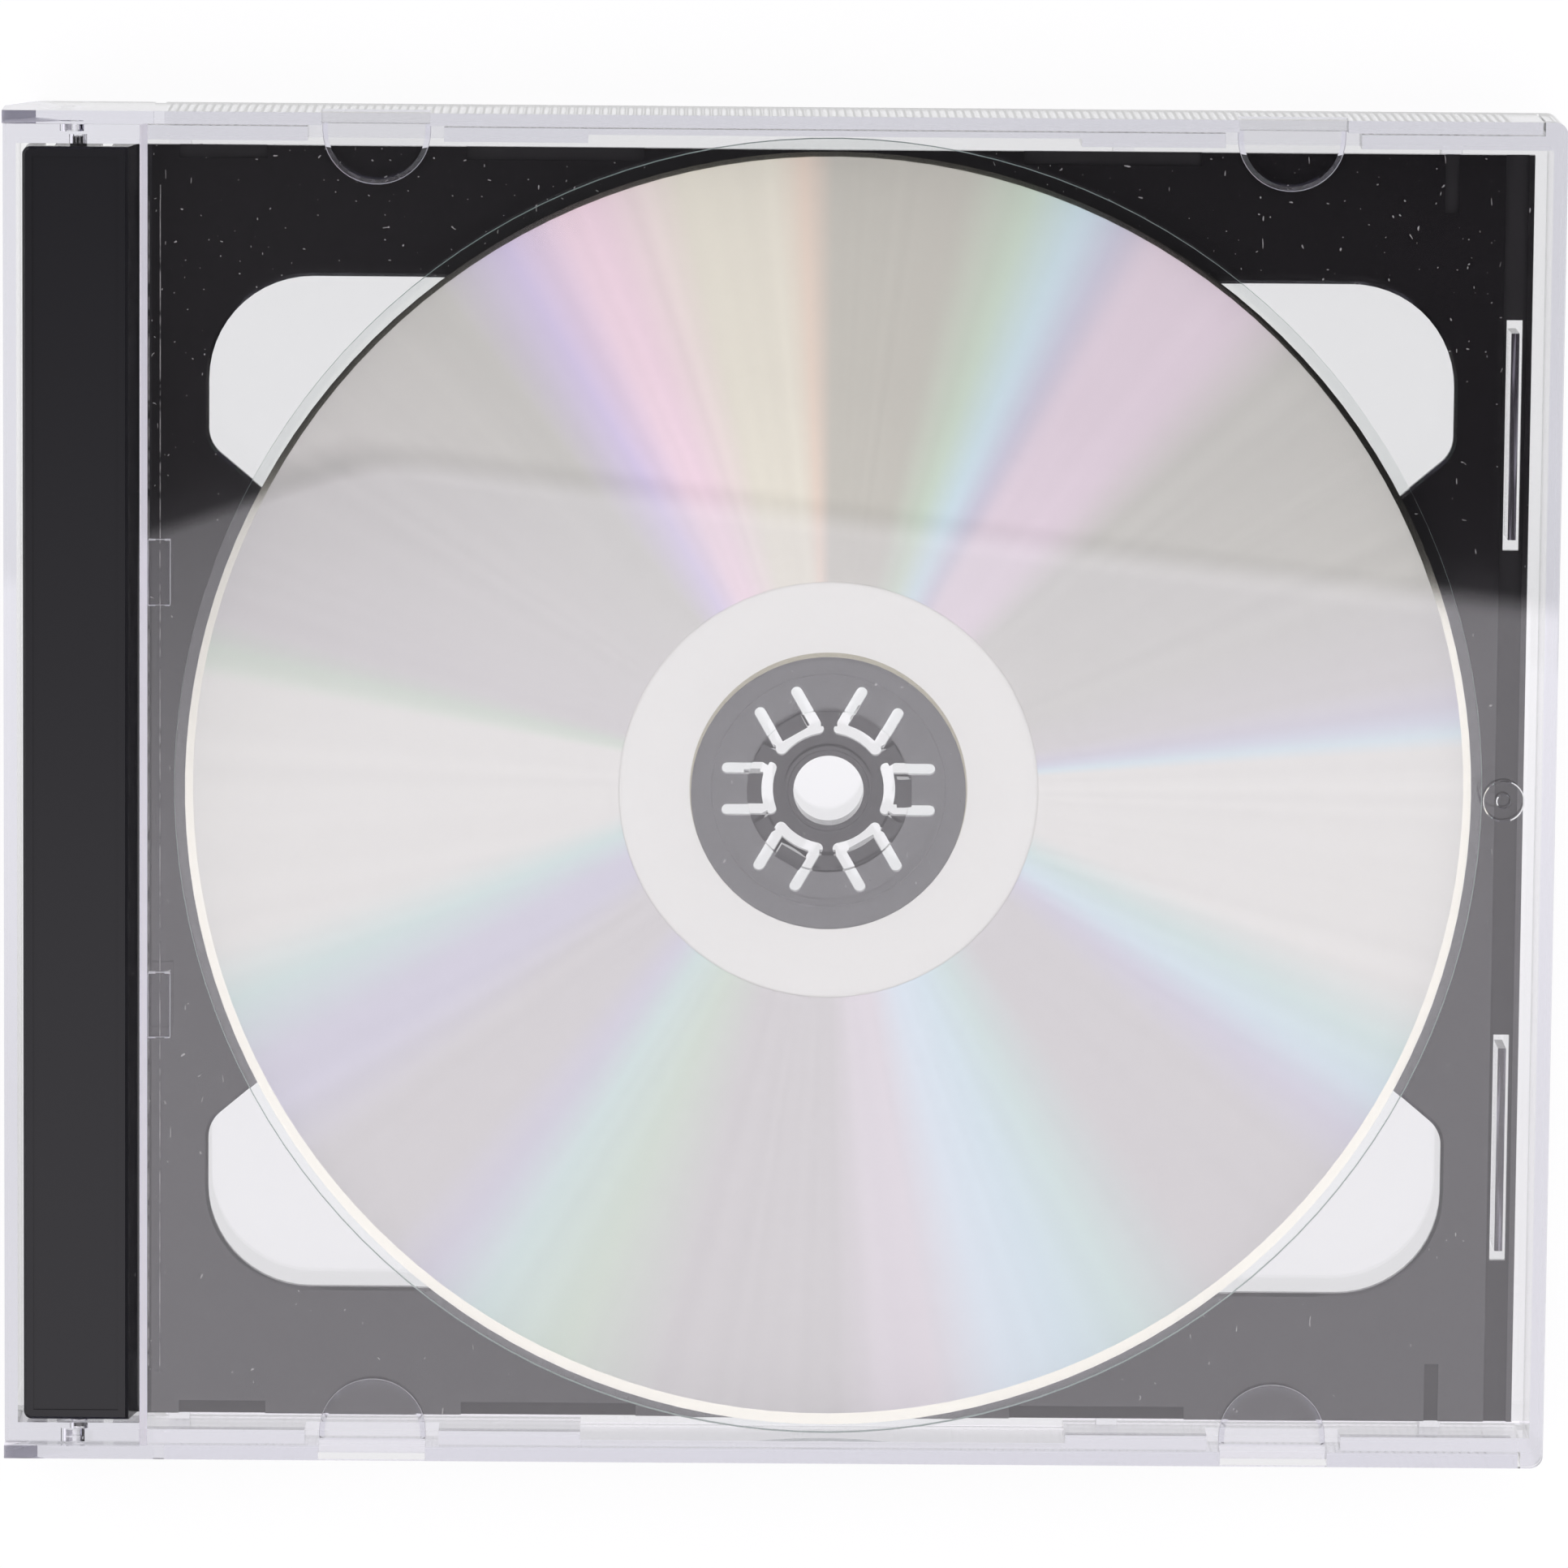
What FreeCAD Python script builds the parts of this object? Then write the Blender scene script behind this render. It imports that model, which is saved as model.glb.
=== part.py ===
"""Two-disc jewel case: clear front and back covers, a black swing tray and one disc.

The case lies closed on its back cover. X runs from the spine to the opening side,
Y along the spine, Z from the back cover up to the front cover. The origin is the
middle of the underside. Lengths are millimetres.
"""
import FreeCAD, Part
import math
import os
import re
import Sketcher

doc = FreeCAD.newDocument("jewel_case")
Vector = FreeCAD.Vector

# Sizes, one cell each
SIZES = {
    # the disc, and the room round it to the outer faces of the closed case
    "disc_radius": 60.0,
    "side_room": 2.25,
    "spine_room": 15.5,
    "end_room": 6.5,
    "case_depth": 10.4,
    "cover_wall": 1.2,
    "corner_radius": 1.2,
    # how far a cut runs past a face, and how far joined forms sink into each other
    "overrun": 1.0,
    "overlap": 0.1,
    # back cover
    "base_wall": 1.3,
    "base_wall_top": 9.0,
    "cover_gap": 0.15,
    "hinge_boss": 0.45,
    "end_block": 2.0,
    "relief_length": 44.8,
    "relief_wall": 0.55,
    "ledge_width": 1.9,
    "ledge_reach": 1.6,
    "ledge_spine_inset": 15.9,
    "ledge_beside_disc": 26.4,
    "ledge_end_inset": 10.1,
    "latch_rib": 0.75,
    "latch_length": 19.0,
    "latch_top": 6.0,
    # front cover
    "lid_left_inset": 12.47,
    "skirt_gap": 0.1,
    "skirt_end_gap": 0.25,
    "ear_end": 1.0,
    "ear_notch_gap": 1.0,
    "tab_inset": 18.35,
    "tab_radius": 4.93,
    "tab_reach": 5.65,
    "tab_top": 6.4,
    "tab_thick": 0.9,
    "tab_rim": 0.5,
    "tab_foot": 0.2,
    "tab_notch_gap": 1.25,
    "tab_notch_floor": 5.2,
    "rib_inset": 1.45,
    "rib_wide": 0.82,
    "rib_end_inset": 8.05,
    "rib_deep": 0.8,
    "stop_inset": 0.75,
    "stop_wide": 2.0,
    "stop_length": 6.0,
    "stop_deep": 1.4,
    "stop_spacing": 20.0,
    "gate_inset": 4.75,
    "gate_radius": 1.8,
    "gate_deep": 0.2,
    "gate_nub": 0.7,
    "gate_bevel": 0.12,
    "plate_edge": 0.2,
    "plate_bevel": 0.7,
    # lid hinge
    "hinge_inset": 6.15,
    "hinge_level": 5.2,
    "hinge_pin": 1.1,
    "hinge_pin_reach": 0.85,
    "hinge_hole_deep": 0.8,
    "pin_play": 0.05,
    # swing tray
    "tray_level": 4.7,
    "tray_plate": 1.0,
    "tray_side_inset": 3.4,
    "tray_right_inset": 2.6,
    "strip_left_inset": 1.75,
    "strip_wide": 9.6,
    "strip_top": 9.0,
    "strip_draft": 0.7,
    "strip_wall": 1.0,
    "strip_heel": 4.7,
    "strip_corner": 0.75,
    "strip_edge": 0.25,
    "panel_border": 0.9,
    "panel_deep": 0.15,
    "swing_inset": 6.76,
    "swing_level": 6.75,
    "swing_pin": 0.8,
    "swing_pin_reach": 0.85,
    "swing_recess_deep": 0.75,
    "tongue_wide": 4.2,
    "tongue_slot": 1.0,
    "window_side_inset": 3.1,
    "window_end_inset": 13.1,
    "window_side_length": 15.4,
    "window_slope": 40.0,
    "window_inner_inset": 10.0,
    "window_corner": 9.5,
    "window_small_corner": 3.0,
    "window_bevel": 0.3,
    "latch_slot": 1.45,
    "latch_slot_length": 21.2,
    "latch_inset": 4.17,
    "latch_end_inset": 29.15,
    "groove_wide": 2.1,
    "groove_deep": 0.35,
    "recess_reach": 1.2,
    "recess_deep": 0.35,
    "recess_near": 17.3,
    "recess_far": 33.5,
    "recess_end_inset": 0.4,
    "recess_end_length": 8.0,
    "stem_wide": 1.3,
    "stem_length": 4.2,
    # hub of the tray
    "hub_hole": 3.23,
    "hub_boss": 4.1,
    "hub_boss_high": 1.0,
    "slot_inner": 5.1,
    "slot_wide": 1.05,
    "slot_outer": 9.8,
    "tongue_half": 1.4,
    "seat_inner": 10.2,
    "seat_outer": 12.1,
    "seat_high": 0.5,
    "tooth_inner": 6.25,
    "tooth_wide": 2.6,
    "tooth_lip": 0.12,
    "tooth_over": 1.0,
    "tooth_play": 0.15,
    "tooth_neck": 0.05,
    "tooth_catch": 0.3,
    "tooth_land": 0.5,
    "tooth_nose": 0.4,
    "block_inner": 6.0,
    "block_wide": 1.5,
    "block_high": 1.3,
    # disc
    "disc_hole": 7.5,
    "disc_thick": 1.2,
    "film_inner": 19.28,
    "film_edge": 1.7,
    "print_inner": 12.63,
    "print_edge": 0.95,
    "print_shift": 0.3,
    "layer_thick": 0.08,
    "mould_ring": 10.7,
    "mould_ring_wide": 0.4,
    "mould_ring_deep": 0.15,
}

sheet = doc.addObject("Spreadsheet::Sheet", "Sizes")
for row, (alias, number) in enumerate(SIZES.items(), start=1):
    sheet.set(f"A{row}", alias)
    sheet.set(f"B{row}", str(number))
    sheet.setAlias(f"B{row}", alias)
doc.recompute()

# Places worked out from the sizes
right = "(disc_radius + (spine_room + end_room) / 2)"
back = "(disc_radius + side_room)"
disc_offset = "((spine_room - end_room) / 2)"
lid_under = "(case_depth - cover_wall)"
lid_left = f"(lid_left_inset - {right})"
lid_wall_in = f"({back} - cover_wall)"
base_side = f"({lid_wall_in} - cover_gap)"
base_inside = f"({base_side} - base_wall)"
boss_inside = f"({base_inside} - hinge_boss)"
end_block_left = f"({right} - end_block)"
skirt_low = "(cover_wall + skirt_gap)"
hinge_x = f"(hinge_inset - {right})"
ear_right = f"({lid_left} + ear_end)"
tab_low = "(tab_top - tab_thick)"
plate_top = "(tray_level + tray_plate / 2)"
plate_low = "(tray_level - tray_plate / 2)"
tray_half = f"({back} - tray_side_inset)"
tray_right = f"({right} - tray_right_inset)"
strip_left = f"(strip_left_inset - {right})"
strip_right = f"({strip_left} + strip_wide)"
swing_x = f"(swing_inset - {right})"
latch_x = f"({right} - latch_inset)"
latch_y = f"({back} - latch_end_inset)"
ledge_right = f"({right} - ledge_end_inset)"
rib_half = f"({back} - rib_end_inset)"
window_half_x = "(disc_radius - window_side_inset)"
window_half_y = "(disc_radius - window_end_inset)"
window_side_low = f"({window_half_y} - window_side_length)"
window_inner_radius = "(disc_radius - window_inner_inset)"
disc_low = f"({plate_top} + seat_high)"
disc_top = f"({disc_low} + disc_thick)"
leg_line = "(tongue_half + slot_wide / 2)"
leg_start = f"sqrt((slot_inner + slot_wide / 2)^2 - {leg_line}^2)"


def bound(text):
    """Write an expression's size names the way a feature reads them from the sheet."""
    names = "|".join(sorted(SIZES, key=len, reverse=True))
    return re.sub(rf"\b({names})\b", r"Sizes.\1", text)


def value(text):
    """Number that an expression on the sizes has now."""
    return float(sheet.evalExpression(text))


def new_body(label):
    body = doc.addObject("PartDesign::Body", label)
    body.Label = label
    body.Placement = FreeCAD.Placement()
    return body


def new_sketch(body, name, plane="XY_Plane", height="0", centre="0"):
    """Sketch on an origin plane, lifted along its normal and moved along X."""
    sketch = body.newObject("Sketcher::SketchObject", name)
    base = next(f for f in body.Origin.OriginFeatures if f.Role == plane)
    sketch.AttachmentSupport = [(base, "")]
    sketch.MapMode = "FlatFace"
    sketch.setExpression(".AttachmentOffset.Base.z", bound(f"1 mm * ({height})"))
    sketch.setExpression(".AttachmentOffset.Base.x", bound(f"1 mm * ({centre})"))
    return sketch


def pin_point(sketch, line, end, x, y):
    """Tie one end of a line to a place given by two expressions."""
    for kind, text in (("DistanceX", x), ("DistanceY", y)):
        index = sketch.addConstraint(Sketcher.Constraint(kind, -1, 1, line, end, value(text)))
        sketch.setExpression(f"Constraints[{index}]", bound(text))


def draw_outline(sketch, points):
    """Closed outline of straight lines through points given as expressions."""
    corners = [Vector(value(x), value(y), 0) for x, y in points]
    lines = []
    for index, corner in enumerate(corners):
        following = corners[(index + 1) % len(corners)]
        lines.append(sketch.addGeometry(Part.LineSegment(corner, following), False))
    for index, line in enumerate(lines):
        following = lines[(index + 1) % len(lines)]
        sketch.addConstraint(Sketcher.Constraint("Coincident", line, 2, following, 1))
        pin_point(sketch, line, 1, *points[index])
    return lines


def draw_box(sketch, left, low, far, high):
    return draw_outline(sketch, [(left, low), (far, low), (far, high), (left, high)])


def set_radius(sketch, curve, text):
    index = sketch.addConstraint(Sketcher.Constraint("Radius", curve, value(text)))
    sketch.setExpression(f"Constraints[{index}]", bound(text))


def draw_circle(sketch, x, y, radius):
    circle = Part.Circle(Vector(value(x), value(y), 0), Vector(0, 0, 1), value(radius))
    index = sketch.addGeometry(circle, False)
    pin_point(sketch, index, 3, x, y)
    set_radius(sketch, index, radius)


def add_arc(sketch, x, y, radius, start, end):
    circle = Part.Circle(Vector(x, y, 0), Vector(0, 0, 1), radius)
    return sketch.addGeometry(Part.ArcOfCircle(circle, start, end), False)


def join_smoothly(sketch, joints):
    """Make pairs of curve ends meet in one point and one direction."""
    for first, first_end, second, second_end in joints:
        sketch.addConstraint(Sketcher.Constraint("Tangent", first, first_end,
                                                 second, second_end))


def settle(feature):
    """Work a new feature out, and stop at once if it failed."""
    doc.recompute()
    if {"Invalid", "Error", "Touched"} & set(feature.State) or feature.Shape.isNull():
        raise ValueError(f"{feature.Name} failed: {feature.getStatusString()}")
    return feature


def grow(body, kind, name, sketch, length, backwards=False, both_ways=False):
    """Pad or pocket of a sketch, with its length bound to the sizes."""
    feature = body.newObject("PartDesign::" + kind, name)
    feature.Profile = sketch
    feature.setExpression("Length", bound(length))
    feature.Reversed = backwards
    feature.Midplane = both_ways
    return settle(feature)


def pad(body, name, sketch, length, backwards=False, both_ways=False):
    return grow(body, "Pad", name, sketch, length, backwards, both_ways)


def pocket(body, name, sketch, length, backwards=False, both_ways=False):
    """Cut a sketch out of the body; a cut that removes nothing is a mistake."""
    before = body.Shape.Volume
    feature = grow(body, "Pocket", name, sketch, length, backwards, both_ways)
    if not feature.Shape.Volume < before:
        raise ValueError(f"{name} cuts nothing")
    return feature


def repeat_round(body, name, features, sketch, axis, count):
    """Repeat features round an axis of the sketch that they stand on."""
    pattern = body.newObject("PartDesign::PolarPattern", name)
    pattern.Originals = features
    pattern.Axis = (sketch, [axis])
    pattern.Angle = 360
    pattern.Occurrences = count
    body.Tip = pattern
    return settle(pattern)


def edges_where(body, test):
    """Names of the edges of a body whose middle point and direction pass a test."""
    names = []
    for index, edge in enumerate(body.Shape.Edges, start=1):
        middle = edge.valueAt((edge.FirstParameter + edge.LastParameter) / 2)
        if test(edge, middle):
            names.append(f"Edge{index}")
    if not names:
        raise ValueError("no edge found")
    return names


def upright(edge):
    """True for a straight edge along Z."""
    if not isinstance(edge.Curve, Part.Line):
        return False
    return abs(edge.Curve.Direction.z) > 0.999


def near(point, x, y):
    return math.hypot(point.x - x, point.y - y) < 0.01


def dress(body, kind, name, edges, size_name, size):
    """Fillet or chamfer of named edges on the body's last feature."""
    last = body.Tip
    feature = body.newObject("PartDesign::" + kind, name)
    feature.Base = (last, edges)
    feature.setExpression(size_name, bound(size))
    body.Tip = feature
    return settle(feature)


def round_edges(body, name, test, radius):
    return dress(body, "Fillet", name, edges_where(body, test), "Radius", radius)


def bevel_edges(body, name, test, size):
    return dress(body, "Chamfer", name, edges_where(body, test), "Size", size)


def both_sides(draw):
    """Call a drawing function for the far side and the near side of the case."""
    for side in ("1", "-1"):
        draw(side)


def tab_places():
    """X of the two tabs along a side wall."""
    return [f"({disc_offset} {sign} (disc_radius - tab_inset))" for sign in "+-"]


def make_back_cover():
    """Clear tray-like moulding: floor, spine, end wall, side walls and hinge holes."""
    body = new_body("back_cover")
    sketch = new_sketch(body, "floor_outline")
    draw_box(sketch, f"-{right}", f"-{back}", right, back)
    pad(body, "floor", sketch, "cover_wall")

    sketch = new_sketch(body, "wall_outline")
    draw_box(sketch, f"-{right}", f"-{base_side}", f"cover_wall - {right}", base_side)
    pad(body, "spine", sketch, "base_wall_top")

    sketch = new_sketch(body, "end_wall_outline")
    draw_box(sketch, f"{right} - cover_wall", f"-{back}", right, back)
    pad(body, "end_wall", sketch, "base_wall_top")

    sketch = new_sketch(body, "side_wall_outline")
    both_sides(lambda side: draw_box(sketch, f"-{right}", f"{side} * {base_side}",
                                     right, f"{side} * {base_inside}"))
    pad(body, "side_walls", sketch, "base_wall_top")

    sketch = new_sketch(body, "end_block_outline")
    both_sides(lambda side: draw_box(sketch, end_block_left, f"{side} * {back}",
                                     right, f"{side} * {base_inside}"))
    pad(body, "end_blocks", sketch, "base_wall_top")

    make_hinge_seats(body)
    make_side_wall_openings(body)
    make_tray_supports(body)
    round_edges(body, "corners", lambda edge, p: upright(edge)
                and near(p, value(right), math.copysign(value(back), p.y)), "corner_radius")
    return body


def make_hinge_seats(body):
    """Bosses at the spine end of the side walls, with the two pairs of pin holes."""
    sketch = new_sketch(body, "hinge_boss_outline")
    both_sides(lambda side: draw_box(sketch, f"-{right}", f"{side} * {base_inside}",
                                     lid_left, f"{side} * {boss_inside}"))
    pad(body, "hinge_bosses", sketch, "base_wall_top")

    sketch = new_sketch(body, "ear_notch_outline")
    both_sides(lambda side: draw_box(
        sketch, f"-{right} - overrun", f"{side} * {base_side}",
        f"{ear_right} + ear_notch_gap", f"{side} * ({back} + overrun)"))
    pocket(body, "ear_notches", sketch, "cover_wall", backwards=True)

    for side, backwards in (("1", False), ("-1", True)):
        height = f"-{side} * {base_side}"
        sketch = new_sketch(body, "hinge_hole_outline", "XZ_Plane", height)
        draw_circle(sketch, hinge_x, "hinge_level", "hinge_pin + pin_play")
        pocket(body, "hinge_hole", sketch, "hinge_hole_deep", backwards=not backwards)
        height = f"-{side} * {boss_inside}"
        sketch = new_sketch(body, "swing_hole_outline", "XZ_Plane", height)
        draw_circle(sketch, swing_x, "swing_level", "swing_pin + pin_play")
        pocket(body, "swing_hole", sketch, "swing_recess_deep", backwards=backwards)


def make_side_wall_openings(body):
    """Thinner side walls beside the disc, and notches that the tabs drop into."""
    sketch = new_sketch(body, "disc_relief_outline", height="cover_wall")
    both_sides(lambda side: draw_box(
        sketch, f"{disc_offset} - relief_length / 2", f"{side} * ({base_inside} - overrun)",
        f"{disc_offset} + relief_length / 2", f"{side} * ({base_side} - relief_wall)"))
    pocket(body, "disc_relief", sketch, "case_depth", backwards=True)

    sketch = new_sketch(body, "tab_notch_outline", height="tab_notch_floor")
    for place in tab_places():
        both_sides(lambda side: draw_box(
            sketch, f"{place} - tab_radius - tab_notch_gap", f"{side} * ({base_inside} - overlap)",
            f"{place} + tab_radius + tab_notch_gap", f"{side} * ({base_side} + overlap)"))
    pocket(body, "tab_notches", sketch, "case_depth", backwards=True)


def make_tray_supports(body):
    """Six ledges that the tray rests on, and two ribs that stand in its slots."""
    sketch = new_sketch(body, "ledge_outline")
    places = [f"(ledge_spine_inset - {right})", f"({disc_offset} + ledge_beside_disc)",
              ledge_right]
    for place in places:
        both_sides(lambda side: draw_box(
            sketch, f"{place} - ledge_width / 2", f"{side} * ({base_inside} + overlap)",
            f"{place} + ledge_width / 2", f"{side} * ({base_inside} - ledge_reach)"))
    pad(body, "ledges", sketch, plate_low)

    sketch = new_sketch(body, "latch_rib_outline")
    both_sides(lambda side: draw_box(
        sketch, f"{latch_x} - latch_rib / 2", f"{side} * {latch_y} - latch_length / 2",
        f"{latch_x} + latch_rib / 2", f"{side} * {latch_y} + latch_length / 2"))
    pad(body, "latch_ribs", sketch, "latch_top")


def make_front_cover():
    """Clear lid: plate, skirts, hinge ears with pins, four tabs and booklet stops."""
    body = new_body("front_cover")
    sketch = new_sketch(body, "plate_outline", height=lid_under)
    draw_box(sketch, lid_left, f"-{back}", right, back)
    pad(body, "plate", sketch, "cover_wall")

    sketch = new_sketch(body, "skirt_outline", height=skirt_low)
    both_sides(lambda side: draw_box(
        sketch, lid_left, f"{side} * {back}",
        f"{end_block_left} - skirt_end_gap", f"{side} * {lid_wall_in}"))
    pad(body, "skirts", sketch, f"case_depth - {skirt_low}")

    left = value(lid_left)
    bevel_edges(body, "plate_bevel", lambda edge, p: abs(p.x - left) < 0.01
                and abs(p.z - value(lid_under)) < 0.01 and abs(p.y) < 1, "plate_bevel")
    make_ears(body)
    make_tabs(body)
    make_booklet_stops(body)
    make_gate_mark(body)
    round_edges(body, "corners", lambda edge, p: upright(edge)
                and near(p, value(right), math.copysign(value(back), p.y)), "corner_radius")
    round_edges(body, "plate_edge", lambda edge, p: abs(p.x - left) < 0.01
                and abs(p.z - value("case_depth")) < 0.01 and abs(p.y) < 1, "plate_edge")
    return body


def draw_ear(sketch):
    """Side view of an ear: flush with the front, rounded about the hinge at the back."""
    radius = value("hinge_inset")
    drop = value("hinge_level - skirt_gap")
    centre = Vector(value(hinge_x), value("hinge_level"), 0)
    turn_end = math.pi + math.asin(min(1.0, drop / radius))
    arc = Part.ArcOfCircle(Part.Circle(centre, Vector(0, 0, 1), radius), math.pi, turn_end)
    bend = sketch.addGeometry(arc, False)
    far = value(ear_right)
    top = value("case_depth")
    low = value("skirt_gap")
    corners = [arc.EndPoint, Vector(far, low, 0), Vector(far, top, 0),
               Vector(-value(right), top, 0), arc.StartPoint]
    lines = [sketch.addGeometry(Part.LineSegment(a, b), False)
             for a, b in zip(corners, corners[1:])]
    join = [(bend, 2, lines[0], 1), (lines[0], 2, lines[1], 1), (lines[1], 2, lines[2], 1),
            (lines[2], 2, lines[3], 1)]
    for first, first_end, second, second_end in join:
        sketch.addConstraint(Sketcher.Constraint("Coincident", first, first_end,
                                                 second, second_end))
    sketch.addConstraint(Sketcher.Constraint("Horizontal", lines[0]))
    sketch.addConstraint(Sketcher.Constraint("Vertical", lines[3]))
    pin_point(sketch, bend, 3, hinge_x, "hinge_level")
    pin_point(sketch, lines[1], 1, ear_right, "skirt_gap")
    pin_point(sketch, lines[1], 2, ear_right, "case_depth")
    pin_point(sketch, lines[3], 1, f"-{right}", "case_depth")
    sketch.addConstraint(Sketcher.Constraint("Tangent", lines[3], 2, bend, 1))


def make_ears(body):
    """Ears at the spine end of the skirts, each with a pin that points inwards."""
    for side, backwards in (("1", False), ("-1", True)):
        sketch = new_sketch(body, "ear_outline", "XZ_Plane", f"-{side} * {back}")
        draw_ear(sketch)
        pad(body, "ear", sketch, "cover_wall", backwards)
        sketch = new_sketch(body, "pin_outline", "XZ_Plane", f"-{side} * {lid_wall_in}")
        draw_circle(sketch, hinge_x, "hinge_level", "hinge_pin")
        pad(body, "pin", sketch, "hinge_pin_reach", backwards)


def draw_half_moon(sketch, place, side):
    """Tab seen from the front: two short arms closed by a half circle."""
    wall = f"{side} * ({lid_wall_in} + cover_wall / 2)"
    middle = f"{side} * ({lid_wall_in} - tab_reach + tab_radius)"
    centre = Vector(value(place), value(middle), 0)
    radius = value("tab_radius")
    start, end = (math.pi, 2 * math.pi) if side == "1" else (0, math.pi)
    arc = Part.ArcOfCircle(Part.Circle(centre, Vector(0, 0, 1), radius), start, end)
    bend = sketch.addGeometry(arc, False)
    sign = 1 if side == "1" else -1
    corners = [arc.EndPoint, Vector(centre.x + sign * radius, value(wall), 0),
               Vector(centre.x - sign * radius, value(wall), 0), arc.StartPoint]
    lines = [sketch.addGeometry(Part.LineSegment(a, b), False)
             for a, b in zip(corners, corners[1:])]
    sketch.addConstraint(Sketcher.Constraint("Tangent", bend, 2, lines[0], 1))
    sketch.addConstraint(Sketcher.Constraint("Coincident", lines[0], 2, lines[1], 1))
    sketch.addConstraint(Sketcher.Constraint("Coincident", lines[1], 2, lines[2], 1))
    sketch.addConstraint(Sketcher.Constraint("Tangent", lines[2], 2, bend, 1))
    pin_point(sketch, bend, 3, place, middle)
    pin_point(sketch, lines[1], 1, f"{place} + {sign} * tab_radius", wall)
    pin_point(sketch, lines[1], 2, f"{place} - {sign} * tab_radius", wall)


def make_tabs(body):
    """Four half-moon tabs for the booklet, and the wall windows that free them."""
    for place in tab_places():
        for side in ("1", "-1"):
            sketch = new_sketch(body, "tab_outline", height=tab_low)
            draw_half_moon(sketch, place, side)
            pad(body, "tab", sketch, "tab_thick")

    def rim_at(height):
        return lambda edge, p: (isinstance(edge.Curve, Part.Circle)
                                and abs(p.z - value(height)) < 0.01
                                and abs(edge.Curve.Radius - value("tab_radius")) < 0.01)

    bevel_edges(body, "tab_rims", rim_at("tab_top"), "tab_rim")
    bevel_edges(body, "tab_feet", rim_at(tab_low), "tab_foot")
    sketch = new_sketch(body, "tab_window_outline", height="tab_top")
    for place in tab_places():
        both_sides(lambda side: draw_box(
            sketch, f"{place} - tab_radius", f"{side} * ({lid_wall_in} - overlap / 10)",
            f"{place} + tab_radius", f"{side} * ({back} + overrun)"))
    pocket(body, "tab_windows", sketch, f"{lid_under} - tab_top", backwards=True)


def make_booklet_stops(body):
    """Long rib and two blocks under the plate that stop the booklet at the spine."""
    sketch = new_sketch(body, "rib_outline", height=lid_under)
    draw_box(sketch, f"{lid_left} + rib_inset", f"-{rib_half}",
             f"{lid_left} + rib_inset + rib_wide", rib_half)
    pad(body, "rib", sketch, "rib_deep", backwards=True)
    sketch = new_sketch(body, "stop_outline", height=lid_under)
    both_sides(lambda side: draw_box(
        sketch, f"{lid_left} + stop_inset", f"{side} * stop_spacing - stop_length / 2",
        f"{lid_left} + stop_inset + stop_wide", f"{side} * stop_spacing + stop_length / 2"))
    pad(body, "stops", sketch, "stop_deep", backwards=True)


def make_gate_mark(body):
    """Round dimple with a nub, left where the plastic was fed into the mould."""
    sketch = new_sketch(body, "gate_outline", height="case_depth")
    draw_circle(sketch, f"{right} - gate_inset", "0", "gate_radius")
    draw_circle(sketch, f"{right} - gate_inset", "0", "gate_nub")
    pocket(body, "gate_mark", sketch, "gate_deep")
    bevel_edges(body, "gate_rims", lambda edge, p: isinstance(edge.Curve, Part.Circle)
                and abs(p.z - value("case_depth")) < 0.01
                and edge.Curve.Radius < value("gate_radius") + 0.01, "gate_bevel")


def make_disc_tray():
    """Black swing tray: plate with windows, raised spine strip and two-sided hub."""
    body = new_body("disc_tray")
    sketch = new_sketch(body, "plate_outline", height=plate_low)
    draw_box(sketch, strip_right, f"-{tray_half}", tray_right, tray_half)
    pad(body, "plate", sketch, "tray_plate")
    make_strip(body)
    make_windows(body)
    make_edge_recesses(body)
    make_hub(body)
    return body


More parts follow.
